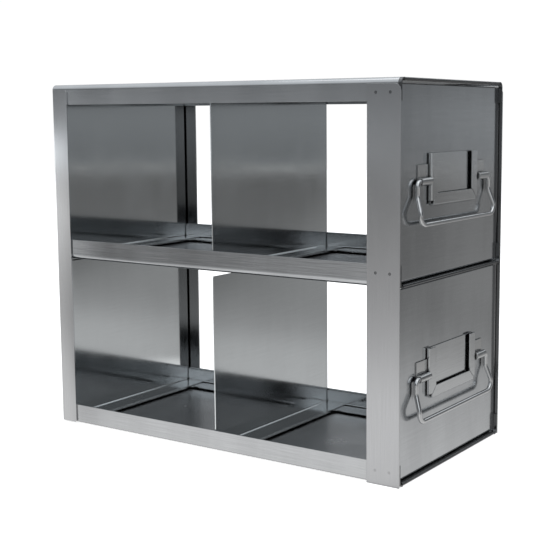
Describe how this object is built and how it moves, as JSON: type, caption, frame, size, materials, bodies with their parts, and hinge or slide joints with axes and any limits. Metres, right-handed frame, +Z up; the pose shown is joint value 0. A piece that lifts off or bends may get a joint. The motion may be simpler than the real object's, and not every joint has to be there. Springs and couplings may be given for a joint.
{
  "type": "freezer storage rack with drawers",
  "caption": "Folded stainless steel rack with side openings and pull-out drawers that hold square boxes of sample tubes in a laboratory freezer.",
  "frame": {"origin": "centre of the overall bounding box in X and Y, on the underside of the bottom panel", "axes": "+Z up, +X along the rack towards the handle end, in the direction the drawers pull out, +Y across it"},
  "size_m": [0.2845, 0.14, 0.241],
  "materials": {
    "frame_sheet": "fine brushed stainless",
    "post_strip": "fine brushed stainless",
    "drawer_sheet": "smooth rolled stainless",
    "divider_sheet": "smooth rolled stainless",
    "holder_sheet": "smooth rolled stainless",
    "clip_sheet": "smooth rolled stainless",
    "bail_wire": "bright drawn wire"
  },
  "bodies": {
    "frame": {"bottom_panel": "frame_sheet", "middle_shelf": "frame_sheet", "top_panel": "frame_sheet", "back_panel": "frame_sheet", "near_front_post": "post_strip", "far_front_post": "post_strip"},
    "lower_drawer": {"lower_drawer_body": "drawer_sheet", "lower_back_divider": "divider_sheet", "lower_middle_divider": "divider_sheet", "lower_label_holder": "holder_sheet", "lower_near_bail_clip": "clip_sheet", "lower_far_bail_clip": "clip_sheet"},
    "lower_bail": {"lower_bail_handle": "bail_wire"},
    "upper_drawer": {"upper_drawer_body": "drawer_sheet", "upper_back_divider": "divider_sheet", "upper_middle_divider": "divider_sheet", "upper_label_holder": "holder_sheet", "upper_near_bail_clip": "clip_sheet", "upper_far_bail_clip": "clip_sheet"},
    "upper_bail": {"upper_bail_handle": "bail_wire"}
  },
  "joints": [
    {"name": "lower_drawer_slide", "type": "slide", "parent": "frame", "child": "lower_drawer", "axis": [1, 0, 0], "range_m": [0, 0.26]},
    {"name": "lower_bail_hinge", "type": "hinge", "parent": "lower_drawer", "child": "lower_bail", "pos_m": [0.13755, 0, 0.061], "axis": [0, -1, 0], "range_deg": [-3, 165]},
    {"name": "upper_drawer_slide", "type": "slide", "parent": "frame", "child": "upper_drawer", "axis": [1, 0, 0], "range_m": [0, 0.26]},
    {"name": "upper_bail_hinge", "type": "hinge", "parent": "upper_drawer", "child": "upper_bail", "pos_m": [0.13755, 0, 0.1802], "axis": [0, -1, 0], "range_deg": [-3, 165]}
  ]
}
